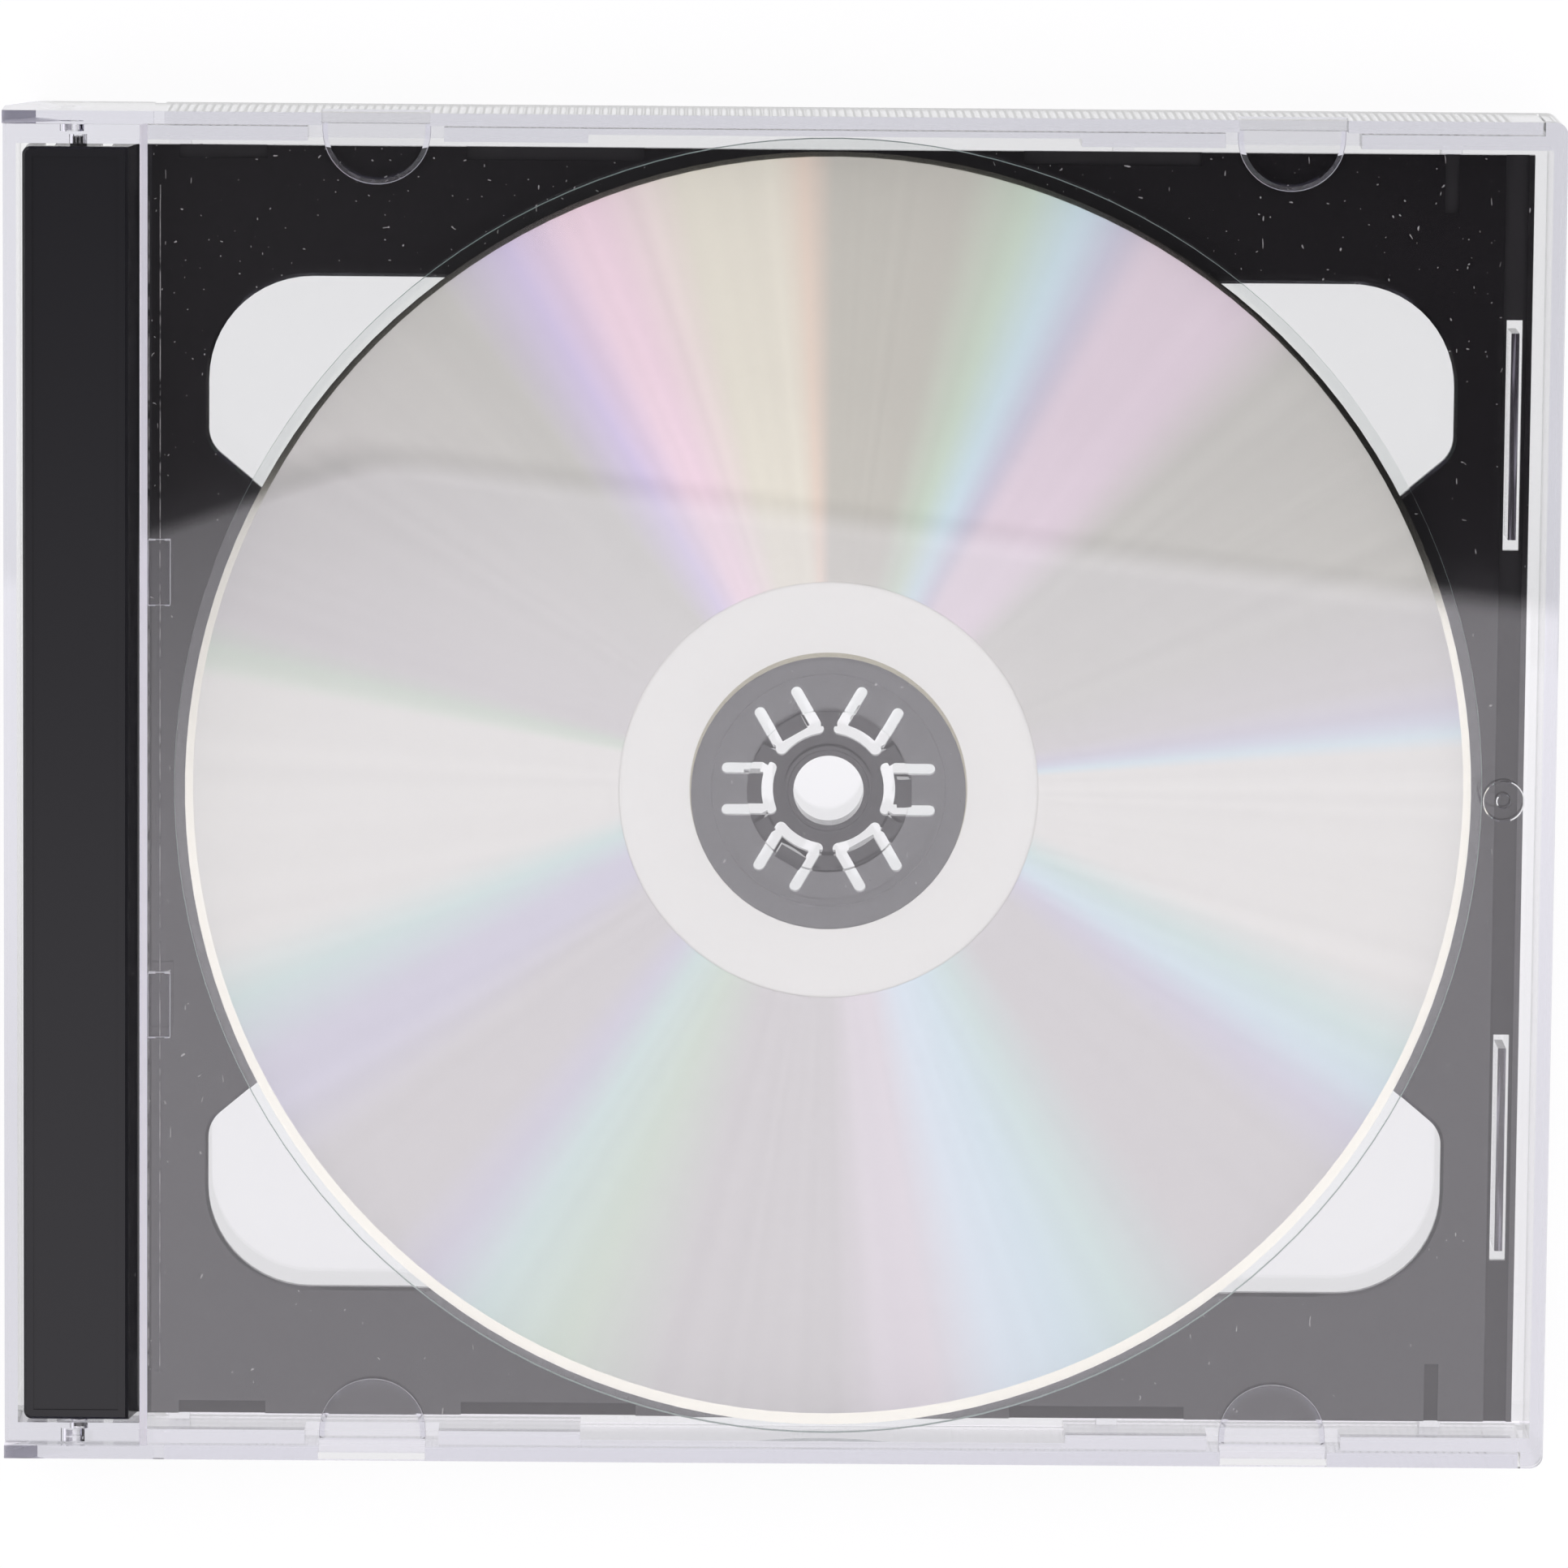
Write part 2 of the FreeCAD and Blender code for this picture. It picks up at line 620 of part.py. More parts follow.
def make_strip(body):
    """Hollow strip along the spine, closed at its ends, with a pin on each end tongue."""
    sketch = new_sketch(body, "strip_section", "XZ_Plane")
    foot = f"{strip_right} + strip_draft"
    draw_outline(sketch, [
        (strip_left, "strip_heel"), (strip_left, "strip_top"), (strip_right, "strip_top"),
        (foot, plate_top), (foot, plate_low), (f"{foot} - strip_wall", plate_low),
        (f"{strip_right} - strip_wall", "strip_top - strip_wall"),
        (f"{strip_left} + strip_wall", "strip_top - strip_wall"),
        (f"{strip_left} + strip_wall", "strip_heel")])
    pad(body, "strip", sketch, f"2 * {tray_half}", both_ways=True)

    for side, backwards in (("1", False), ("-1", True)):
        sketch = new_sketch(body, "strip_end_section", "XZ_Plane", f"-{side} * {tray_half}")
        draw_outline(sketch, [
            (strip_left, "strip_heel"), (strip_left, "strip_top"),
            (strip_right, "strip_top"), (foot, plate_top), (foot, plate_low),
            (f"{strip_left} + strip_wall", plate_low)])
        pad(body, "strip_end", sketch, "strip_wall", backwards)

    round_edges(body, "strip_corners", lambda edge, p: upright(edge)
                and near(p, value(strip_left), math.copysign(value(tray_half), p.y)),
                "strip_corner")
    bevel_edges(body, "strip_edges", lambda edge, p: abs(p.z - value("strip_top")) < 0.01,
                "strip_edge")
    sketch = new_sketch(body, "panel_outline", height="strip_top")
    draw_box(sketch, f"{strip_left} + panel_border", f"panel_border - {tray_half}",
             f"{strip_right} - panel_border", f"{tray_half} - panel_border")
    pocket(body, "panel", sketch, "panel_deep")

    sketch = new_sketch(body, "tongue_slot_outline", height="strip_top - strip_wall")
    half = "(tongue_wide / 2)"
    for side in ("1", "-1"):
        for hand in ("1", "-1"):
            draw_box(sketch, f"{swing_x} + {hand} * {half}", f"{side} * ({tray_half} + overrun)",
                     f"{swing_x} + {hand} * ({half} + tongue_slot)",
                     f"{side} * ({tray_half} - strip_wall)")
    pocket(body, "tongue_slots", sketch, "case_depth")

    for side, backwards in (("1", True), ("-1", False)):
        sketch = new_sketch(body, "swing_pin_outline", "XZ_Plane", f"-{side} * {tray_half}")
        draw_circle(sketch, swing_x, "swing_level", "swing_pin")
        pad(body, "swing_pin", sketch, "swing_pin_reach", backwards)


def draw_window(sketch, across, along):
    """One finger window: two straight sides, a slanted side and an arc under the disc."""
    hand = int(across)
    side = int(along)
    radius = value(window_inner_radius)
    half_x, half_y = value(window_half_x), value(window_half_y)
    low = value(window_side_low)
    slope = math.tan(math.radians(value("window_slope")))
    lead = low - slope * half_x
    steep = 1 + slope ** 2
    reach = (math.sqrt(radius ** 2 * steep - lead ** 2) - slope * lead) / steep
    points = [(math.sqrt(radius ** 2 - half_y ** 2), half_y), (half_x, half_y),
              (half_x, low), (reach, lead + slope * reach)]
    corners = [Vector(hand * x, side * y, 0) for x, y in points]
    lines = [sketch.addGeometry(Part.LineSegment(a, b), False)
             for a, b in zip(corners, corners[1:])]
    middle_turn = math.atan2(points[0][1] + points[3][1], points[0][0] + points[3][0])
    middle = Vector(hand * radius * math.cos(middle_turn), side * radius * math.sin(middle_turn), 0)
    arc = Part.Arc(corners[3], middle, corners[0])
    bend = sketch.addGeometry(arc, False)
    first, last = (1, 2) if hand == side else (2, 1)
    sketch.addConstraint(Sketcher.Constraint("Coincident", lines[0], 2, lines[1], 1))
    sketch.addConstraint(Sketcher.Constraint("Coincident", lines[1], 2, lines[2], 1))
    sketch.addConstraint(Sketcher.Constraint("Coincident", lines[2], 2, bend, first))
    sketch.addConstraint(Sketcher.Constraint("Coincident", lines[0], 1, bend, last))
    sketch.addConstraint(Sketcher.Constraint("Coincident", bend, 3, -1, 1))
    sketch.addConstraint(Sketcher.Constraint("Horizontal", lines[0]))
    side_x, side_end = f"{across} * {window_half_x}", f"{along} * {window_side_low}"
    pin_point(sketch, lines[1], 1, side_x, f"{along} * {window_half_y}")
    pin_point(sketch, lines[2], 1, side_x, side_end)
    set_radius(sketch, bend, window_inner_radius)
    run = value("window_corner")
    helper = sketch.addGeometry(Part.LineSegment(corners[2], Vector(
        hand * (half_x - run), side * (low - run * slope), 0)), True)
    pin_point(sketch, helper, 1, side_x, side_end)
    pin_point(sketch, helper, 2, f"{side_x} - {across} * window_corner",
              f"{side_end} - {along} * window_corner * tan(window_slope * 1 deg)")
    sketch.addConstraint(Sketcher.Constraint("Parallel", lines[2], helper))


def make_windows(body):
    """Four finger windows at the corners of the disc, and the slots for the ribs."""
    sketch = new_sketch(body, "window_outline", height=plate_top, centre=disc_offset)
    for across in ("1", "-1"):
        for along in ("1", "-1"):
            draw_window(sketch, across, along)
    pocket(body, "windows", sketch, "tray_plate")
    offset, inner = value(disc_offset), value(window_inner_radius)
    half_x, half_y = value(window_half_x), value(window_half_y)

    def at_corner(y):
        return lambda edge, p: (upright(edge) and abs(abs(p.x - offset) - half_x) < 0.01
                                and abs(abs(p.y) - y) < 0.01)

    round_edges(body, "window_corners", at_corner(half_y), "window_corner")
    round_edges(body, "window_small_corners", at_corner(value(window_side_low)),
                "window_small_corner")
    bevel_edges(body, "window_rims", lambda edge, p: abs(p.z - value(plate_top)) < 0.01
                and abs(p.x - offset) < half_x + 0.01 and abs(p.y) < half_y + 0.01
                and math.hypot(p.x - offset, p.y) > inner - 0.01, "window_bevel")

    sketch = new_sketch(body, "groove_outline", height=plate_top)
    draw_box(sketch, f"{latch_x} - groove_wide / 2", f"-{tray_half} - overrun",
             f"{latch_x} + groove_wide / 2", f"{tray_half} + overrun")
    pocket(body, "groove", sketch, "groove_deep")

    sketch = new_sketch(body, "latch_slot_outline", height=plate_top)
    both_sides(lambda side: draw_box(
        sketch, f"{latch_x} - latch_slot / 2", f"{side} * {latch_y} - latch_slot_length / 2",
        f"{latch_x} + latch_slot / 2", f"{side} * {latch_y} + latch_slot_length / 2"))
    pocket(body, "latch_slots", sketch, "tray_plate")


def make_edge_recesses(body):
    """Shallow steps along the long edges of the plate."""
    sketch = new_sketch(body, "recess_outline", height=plate_top, centre=disc_offset)
    end = "(recess_end_inset - disc_radius)"
    spans = [("recess_near", "recess_far"), ("-recess_far", "-recess_near"),
             (end, f"{end} + recess_end_length")]
    for start, end in spans:
        both_sides(lambda side: draw_box(sketch, start, f"{side} * ({tray_half} + overrun)",
                                         end, f"{side} * ({tray_half} - recess_reach)"))
    pocket(body, "recesses", sketch, "recess_deep")

    sketch = new_sketch(body, "stem_outline", height=plate_top)
    both_sides(lambda side: draw_box(
        sketch, f"{ledge_right} - stem_wide / 2", f"{side} * ({tray_half} + overrun)",
        f"{ledge_right} + stem_wide / 2", f"{side} * ({tray_half} - recess_reach - stem_length)"))
    pocket(body, "stems", sketch, "recess_deep")


def make_hub(body):
    """Two-sided hub: through hole, six spring tongues, teeth on both faces, seats."""
    thick = "(tray_plate + 2 * seat_high)"
    sketch = new_sketch(body, "seat_outline", height="tray_level", centre=disc_offset)
    draw_circle(sketch, "0", "0", "seat_outer")
    draw_circle(sketch, "0", "0", "seat_inner")
    pad(body, "seats", sketch, thick, both_ways=True)

    sketch = new_sketch(body, "boss_outline", height="tray_level", centre=disc_offset)
    draw_circle(sketch, "0", "0", "hub_boss")
    pad(body, "boss", sketch, "tray_plate + 2 * hub_boss_high", both_ways=True)
    sketch = new_sketch(body, "hole_outline", height="tray_level", centre=disc_offset)
    draw_circle(sketch, "0", "0", "hub_hole")
    pocket(body, "hole", sketch, "case_depth", both_ways=True)

    sketch = new_sketch(body, "block_outline", height="tray_level", centre=disc_offset)
    draw_box(sketch, "-block_wide / 2", "block_inner", "block_wide / 2", "disc_hole - tooth_play")
    block = pad(body, "block", sketch, "tray_plate + 2 * block_high", both_ways=True)
    repeat_round(body, "blocks", [block], sketch, "N_Axis", 6)

    bend = new_sketch(body, "tongue_bend_outline", height=plate_top, centre=disc_offset)
    draw_bent_slot(bend)
    closed_end = pocket(body, "tongue_bend", bend, "tray_plate")
    legs = new_sketch(body, "tongue_leg_outline", height=plate_top, centre=disc_offset)
    draw_leg(legs, "1")
    draw_leg(legs, "-1")
    sides = pocket(body, "tongue_legs", legs, "tray_plate")
    repeat_round(body, "tongues", [closed_end, sides], bend, "N_Axis", 6)
    make_teeth(body)


def draw_bent_slot(sketch):
    """Closed end of a tongue's slot: a slot with round ends, bent about the hub."""
    near_side, wide = value("slot_inner"), value("slot_wide")
    middle = near_side + wide / 2
    half = value(leg_line)
    turn = math.asin(half / middle)
    reach = math.sqrt(middle ** 2 - half ** 2)
    inner = add_arc(sketch, 0, 0, near_side, -turn, turn)
    outer = add_arc(sketch, 0, 0, near_side + wide, -turn, turn)
    upper = add_arc(sketch, reach, half, wide / 2, turn, turn + math.pi)
    lower = add_arc(sketch, reach, -half, wide / 2, -turn - math.pi, -turn)
    for curve in (inner, outer):
        sketch.addConstraint(Sketcher.Constraint("Coincident", curve, 3, -1, 1))
    join_smoothly(sketch, [(outer, 2, upper, 1), (upper, 2, inner, 2),
                           (inner, 1, lower, 1), (lower, 2, outer, 1)])
    set_radius(sketch, inner, "slot_inner")
    set_radius(sketch, outer, "slot_inner + slot_wide")
    for curve, sign in ((upper, ""), (lower, "-")):
        index = sketch.addConstraint(Sketcher.Constraint("DistanceY", -1, 1, curve, 3,
                                                         value(sign + leg_line)))
        sketch.setExpression(f"Constraints[{index}]", bound(sign + leg_line))


def draw_leg(sketch, side):
    """Straight leg of a tongue's slot, with round ends; its inner end lies on the bend."""
    wide = value("slot_wide")
    start, end = value(leg_start), value("slot_outer - slot_wide / 2")
    line = value(f"{side} * {leg_line}")
    far = add_arc(sketch, end, line, wide / 2, -math.pi / 2, math.pi / 2)
    close = add_arc(sketch, start, line, wide / 2, math.pi / 2, 3 * math.pi / 2)
    top = sketch.addGeometry(Part.LineSegment(Vector(end, line + wide / 2, 0),
                                              Vector(start, line + wide / 2, 0)), False)
    foot = sketch.addGeometry(Part.LineSegment(Vector(start, line - wide / 2, 0),
                                               Vector(end, line - wide / 2, 0)), False)
    join_smoothly(sketch, [(far, 2, top, 1), (top, 2, close, 1),
                           (close, 2, foot, 1), (foot, 2, far, 1)])
    pin_point(sketch, far, 3, "slot_outer - slot_wide / 2", f"{side} * {leg_line}")
    pin_point(sketch, close, 3, leg_start, f"{side} * {leg_line}")
    set_radius(sketch, far, "slot_wide / 2")


def make_teeth(body):
    """Three teeth on the front and three on the back, on alternate tongues."""
    outer = "(disc_hole - tooth_play)"
    lip = "(disc_hole + tooth_lip)"
    for name, sign in (("front_tooth", "1"), ("back_tooth", "-1")):
        face = f"tray_level + {sign} * (tray_plate / 2)"
        seat = f"{face} + {sign} * (seat_high + disc_thick"
        sketch = new_sketch(body, name + "_section", "XZ_Plane", centre=disc_offset)
        points = [
            ("tooth_inner", face), (outer, face), (outer, f"{seat} + tooth_neck)"),
            (lip, f"{seat} + tooth_catch)"), (lip, f"{seat} + tooth_land)"),
            (f"{outer} - tooth_nose", f"{seat} + tooth_over)"),
            ("tooth_inner", f"{seat} + tooth_over)")]
        if sign == "-1":
            points = [(f"-{x}", z) for x, z in points]
        draw_outline(sketch, points)
        tooth = pad(body, name, sketch, "tooth_wide", both_ways=True)
        repeat_round(body, name + "_ring", [tooth], sketch, "V_Axis", 3)


def make_disc_layer(label, low, thick, inner, outer, shift="0"):
    """Flat ring centred on the hub."""
    body = new_body(label)
    sketch = new_sketch(body, label + "_outline", height=low, centre=disc_offset)
    draw_circle(sketch, "0", shift, outer)
    draw_circle(sketch, "0", shift, inner)
    pad(body, label + "_ring", sketch, thick)
    return body


def make_disc():
    """Clear disc with its silver film and white print on the far face."""
    substrate = make_disc_layer("disc_substrate", disc_low, "disc_thick", "disc_hole",
                                "disc_radius")
    sketch = new_sketch(substrate, "mould_ring_outline", height=disc_top, centre=disc_offset)
    draw_circle(sketch, "0", "0", "mould_ring + mould_ring_wide / 2")
    draw_circle(sketch, "0", "0", "mould_ring - mould_ring_wide / 2")
    pocket(substrate, "mould_ring_groove", sketch, "mould_ring_deep")
    film = make_disc_layer("disc_reflective_film", f"{disc_low} - layer_thick", "layer_thick",
                           "film_inner", "disc_radius - film_edge")
    label = make_disc_layer("disc_white_print", f"{disc_low} - 2 * layer_thick", "layer_thick",
                            "print_inner", "disc_radius - print_edge", "-print_shift")
    return [substrate, film, label]


bodies = [make_back_cover(), make_front_cover(), make_disc_tray()] + make_disc()
doc.recompute()

for thing in doc.Objects:
    if {"Invalid", "Error"} & set(thing.State):
        raise RuntimeError(f"{thing.Name} failed: {thing.State}")
for body in bodies:
    if body.Shape.isNull() or not body.Shape.isValid():
        raise RuntimeError(f"{body.Label} has no valid shape")

os.makedirs("parts", exist_ok=True)
for body in bodies:
    body.Shape.exportStep(f"parts/{body.Label}.step")
    box = body.Shape.BoundBox
    print(f"{body.Label}: {len(body.Shape.Solids)} solid, {body.Shape.Volume:.1f} mm3, "
          f"x {box.XMin:.2f} to {box.XMax:.2f}, y {box.YMin:.2f} to {box.YMax:.2f}, "
          f"z {box.ZMin:.2f} to {box.ZMax:.2f}")
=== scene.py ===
# %% [markdown]
# A clear disc case lies closed on a white table, and we look almost straight down on it.
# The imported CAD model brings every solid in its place. This lesson adds what makes the
# case look real: clear and black polystyrene, the disc's silver film with its rainbow,
# dust and fine lines, a studio to mirror, and the camera.

import math

import bmesh
import bpy
from mathutils import Matrix, Vector

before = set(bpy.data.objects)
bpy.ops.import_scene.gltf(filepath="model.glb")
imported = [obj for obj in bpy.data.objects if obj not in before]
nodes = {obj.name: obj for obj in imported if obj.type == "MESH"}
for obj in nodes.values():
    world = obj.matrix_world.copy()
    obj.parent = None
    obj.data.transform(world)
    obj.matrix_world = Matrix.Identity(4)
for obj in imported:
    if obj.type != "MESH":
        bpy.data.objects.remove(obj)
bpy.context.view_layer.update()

# %% [markdown]
# All sizes below are written in millimetres and used in metres. Colours are written as
# sRGB hex values, as a colour picker shows them, and one function makes them linear.

# %% Units and colours
MM = 0.001
DISC_X = 4.5 * MM


def linear(code):
    """Linear colour of an sRGB hex value."""
    shares = [int(code[i:i + 2], 16) / 255 for i in (1, 3, 5)]
    return (*[s / 12.92 if s <= 0.04045 else ((s + 0.055) / 1.055) ** 2.4 for s in shares],
            1.0)


print("middle grey is linear", round(linear("#808080")[0], 3))

# %% [markdown]
# Materials are node trees. One small function adds a node, sets its values and links its
# inputs, so that each material below reads as a list of what feeds what.

# %% A helper that adds one node
def add(tree, kind, inputs=None, **settings):
    """Add a node. Inputs are numbers, colours or the sockets that feed them."""
    node = tree.nodes.new("ShaderNode" + kind)
    for name, setting in settings.items():
        setattr(node, name, setting)
    for name, source in (inputs or {}).items():
        socket = node.inputs[name]
        if isinstance(source, bpy.types.NodeSocket):
            tree.links.new(source, socket)
        else:
            socket.default_value = source
    return node


def new_material(name):
    """Empty node material and its output node."""
    material = bpy.data.materials.new(name)
    material.use_nodes = True
    material.node_tree.nodes.clear()
    output = add(material.node_tree, "OutputMaterial")
    return material, material.node_tree, output


def dress(node_name, material):
    """Give a CAD node its material."""
    slots = nodes[node_name].data.materials
    slots.clear()
    slots.append(material)
    print(node_name, "is made of", material.name)


def dress_faces(node_name, material, test):
    """Give some faces of a CAD node another material: test reads middle and normal in mm."""
    mesh = nodes[node_name].data
    mesh.materials.append(material)
    chosen = [face for face in mesh.polygons if test(face.center / MM, face.normal)]
    for face in chosen:
        face.material_index = len(mesh.materials) - 1
    print(node_name, "has", len(chosen), "faces of", material.name)


# %% [markdown]
# Clear polystyrene is moulded between polished steel, so it is as smooth as glass and
# bends light a little more (IOR 1.59). Real walls bend what is seen through them, and
# that draws the bright and dark lines along the case's edges. Its faint lilac tint grows
# with depth. Light passes through it, so shadow rays meet a plain transparent surface and
# not the glass. The lid's skirts carry fine upright ridges for the fingers. As solids they
# would take thousands of small faces, so they are drawn as bump. They have a material of
# their own, so that the rest of the lid needs no bump.

# %% Ridges of the skirts
RIDGE_PITCH = 0.77
RIDGE_HEIGHT = 0.010
SKIRT_OUTSIDE = 62.2
RIDGES_LOW = 1.25
RIDGES_MIDDLE = 5
RIDGES_REACH = 61
print("ridges along a skirt:", round(2 * RIDGES_REACH / RIDGE_PITCH))


def add_ridges(tree):
    """Bump of upright ridges, only on the outer faces of the lid's skirts."""
    axes = add(tree, "SeparateXYZ", {0: add(tree, "TexCoord").outputs["Object"]})
    turn = add(tree, "Math", {0: axes.outputs["X"], 1: 2 * math.pi / (RIDGE_PITCH * MM)},
               operation="MULTIPLY")
    wave = add(tree, "Math", {0: turn.outputs[0]}, operation="SINE")
    side = add(tree, "Math", {0: axes.outputs["Y"]}, operation="ABSOLUTE")
    outside = add(tree, "Math", {0: side.outputs[0], 1: SKIRT_OUTSIDE * MM},
                  operation="GREATER_THAN")
    above = add(tree, "Math", {0: axes.outputs["Z"], 1: RIDGES_LOW * MM},
                operation="GREATER_THAN")
    middle = add(tree, "Math", {0: axes.outputs["X"], 1: RIDGES_MIDDLE * MM,
                                2: RIDGES_REACH * MM}, operation="COMPARE")
    height = wave
    for mask in (outside, above, middle):
        height = add(tree, "Math", {0: height.outputs[0], 1: mask.outputs[0]},
                     operation="MULTIPLY")
    bump = add(tree, "Bump", {"Height": height.outputs[0], "Distance": RIDGE_HEIGHT * MM,
                              "Strength": 1.0})
    return bump.outputs["Normal"]


# %% Clear plastics
BARE = "#FDFDFD"
LILAC_DEPTH = "#E2E1EC"
TINT_DENSITY = 90.0
POLYSTYRENE_IOR = 1.59
POLYCARBONATE_IOR = 1.585


def make_clear(name, colour, tint, ior, ridged):
    """Clear plastic. The colour tints each face, and the tint, if any, grows with depth."""
    material, tree, output = new_material(name)
    glass = add(tree, "BsdfPrincipled", {
        "Base Color": linear(colour), "Roughness": 0.0, "IOR": ior,
        "Transmission Weight": 1.0})
    if ridged:
        tree.links.new(add_ridges(tree), glass.inputs["Normal"])
    open_way = add(tree, "BsdfTransparent", {"Color": linear(BARE)})
    path = add(tree, "LightPath")
    mixed = add(tree, "MixShader", {
        0: path.outputs["Is Shadow Ray"], 1: glass.outputs[0], 2: open_way.outputs[0]})
    tree.links.new(mixed.outputs[0], output.inputs["Surface"])
    if tint:
        depth = add(tree, "VolumeAbsorption", {"Color": linear(tint),
                                              "Density": TINT_DENSITY})
        tree.links.new(depth.outputs[0], output.inputs["Volume"])
    return material


clear_polystyrene = make_clear("clear_polystyrene", BARE, LILAC_DEPTH, POLYSTYRENE_IOR, False)
clear_ridged = make_clear("clear_polystyrene_ridged", BARE, LILAC_DEPTH, POLYSTYRENE_IOR, True)
dress("front_cover", clear_polystyrene)
dress("back_cover", clear_polystyrene)
dress_faces("front_cover", clear_ridged, lambda middle, normal: (
    abs(middle.y) > SKIRT_OUTSIDE and abs(normal.y) > 0.9))

# %% [markdown]
# The disc is clear polycarbonate (IOR 1.585). Its faint tint is put on its faces and not
# in its depth. That is only nearly the same, but it renders faster.

# %% Clear part of the disc
clear_polycarbonate = make_clear("clear_polycarbonate", "#F8FAF9", None, POLYCARBONATE_IOR,
                                 False)
dress("disc_substrate", clear_polycarbonate)

# %% [markdown]
# A few faces of the lid look pale and cloudy in the picture: the bevel along its back
# edge, the rounded ends of its ears and the walls of its two stop blocks. That they are
# unpolished on the real lid is a guess. A matte finish gives that look.

# %% Matte edges of the lid
BACK_EDGE_X = -57.6
STOPS_X = (-57.9, -55.6)
STOPS_Y = (16.5, 23.5)
STOPS_Z = (7.7, 9.19)
EAR_END_X = -67.5


def make_ground(name, colour):
    material, tree, output = new_material(name)
    body = add(tree, "BsdfPrincipled", {
        "Base Color": linear(colour), "Roughness": 0.5, "IOR": POLYSTYRENE_IOR})
    tree.links.new(body.outputs[0], output.inputs["Surface"])
    return material


ground = make_ground("ground_polystyrene", "#FDFDFF")


def is_ground(middle, normal):
    back_edge = middle.x < BACK_EDGE_X and normal.x < -0.1 and normal.z < -0.1
    in_stops = (STOPS_X[0] < middle.x < STOPS_X[1]
                and STOPS_Y[0] < abs(middle.y) < STOPS_Y[1])
    stop_walls = (in_stops and STOPS_Z[0] < middle.z < STOPS_Z[1]
                  and abs(normal.z) < 0.5)
    ear_end = middle.x < EAR_END_X and normal.z < 0.9
    return back_edge or stop_walls or ear_end


dress_faces("front_cover", ground, is_ground)

# %% [markdown]
# The four half-moon tabs hang from the lid's skirts. The picture shows their edges as pale
# arcs, and their flats no lighter than the plate around them, so they mirror less of the
# studio than the lid does. A matte edge and flats with a low IOR give that look. The real
# plastic is the same throughout, so the low IOR is matched to the picture and not to it.

# %% Half-moon tabs
TAB_MIDDLES = (46.15, -37.15)
TAB_RADIUS = 4.93
TAB_Y = (50, 61.03)
TAB_Z = (5.45, 6.45)
FLATS_IOR = 1.2


def in_tab(middle):
    beside = min(abs(middle.x - x) for x in TAB_MIDDLES) < TAB_RADIUS + 0.02
    return (beside and TAB_Y[0] < abs(middle.y) < TAB_Y[1]
            and TAB_Z[0] < middle.z < TAB_Z[1])


tab_flats = make_clear("clear_polystyrene_tabs", BARE, LILAC_DEPTH, FLATS_IOR, False)
dress_faces("front_cover", tab_flats, lambda middle, normal: (
    in_tab(middle) and abs(normal.z) > 0.9))
dress_faces("front_cover", ground, lambda middle, normal: (
    in_tab(middle) and -0.9 < normal.z < 0.5))

# %% [markdown]
# The back cover's latch ribs stand in the tray's slots. In the picture they are dark with
# pale streaks, perhaps because rounded tops bend the black walls beside them into view.
# The solid's tops are flat and would look white, so the dark tops and their pale streaks are
# painted: a painted reflection of those black walls.

# %% Tops of the latch ribs
RIB_TOP = 5.9
RIB_X = (66, 68)
RIB_Y = (20, 45)
STREAK_WIDTH = 0.25
STREAK_LENGTH = 9


def make_rib_top_painted_reflection():
    material, tree, output = new_material("polystyrene_rib_top_painted_reflection")
    place = add(tree, "TexCoord").outputs["Object"]
    drawn = add(tree, "Mapping", {
        "Vector": place, "Scale": (1 / (STREAK_WIDTH * MM), 1 / (STREAK_LENGTH * MM), 0)})
    streak = add(tree, "TexNoise", {"Vector": drawn.outputs[0], "Scale": 1.0, "Detail": 2.0})
    streak = add(tree, "MapRange", {"Value": streak.outputs[0], "From Min": 0.52,
                                    "From Max": 0.75})
    # Painted reflection: dark tops with pale streaks.
    colour = add(tree, "Mix", {0: streak.outputs[0], 6: linear("#1F1D21"),
                               7: linear("#7C7A82")}, data_type="RGBA")
    body = add(tree, "BsdfPrincipled", {"Base Color": colour.outputs[2], "Roughness": 0.15,
                                        "IOR": POLYSTYRENE_IOR})
    tree.links.new(body.outputs[0], output.inputs["Surface"])
    return material


dress_faces("back_cover", make_rib_top_painted_reflection(), lambda middle, normal: (
    middle.z > RIB_TOP and RIB_X[0] < middle.x < RIB_X[1]
    and RIB_Y[0] < abs(middle.y) < RIB_Y[1] and normal.z > 0.9))

# %% [markdown]
# The disc's outer wall shows as a fine pale green line. It is painted here, as a matte
# face of that colour.

# %% Outer wall of the disc
DISC_WALL = 59.5
disc_wall = make_ground("ground_polycarbonate", "#B0C6BC")
dress_faces("disc_substrate", disc_wall, lambda middle, normal: (
    abs(normal.z) < 0.5 and math.hypot(middle.x - DISC_X / MM, middle.y) > DISC_WALL))

# %% [markdown]
# The tray is black polystyrene. Its plate was moulded against polished steel and mirrors
# the studio. Dust lies on it: specks and short fibres, drawn with Voronoi patterns, one
# round and two stretched, of which only the middles of some cells show. They are drawn
# larger than real dust, or else they would not show in the render.

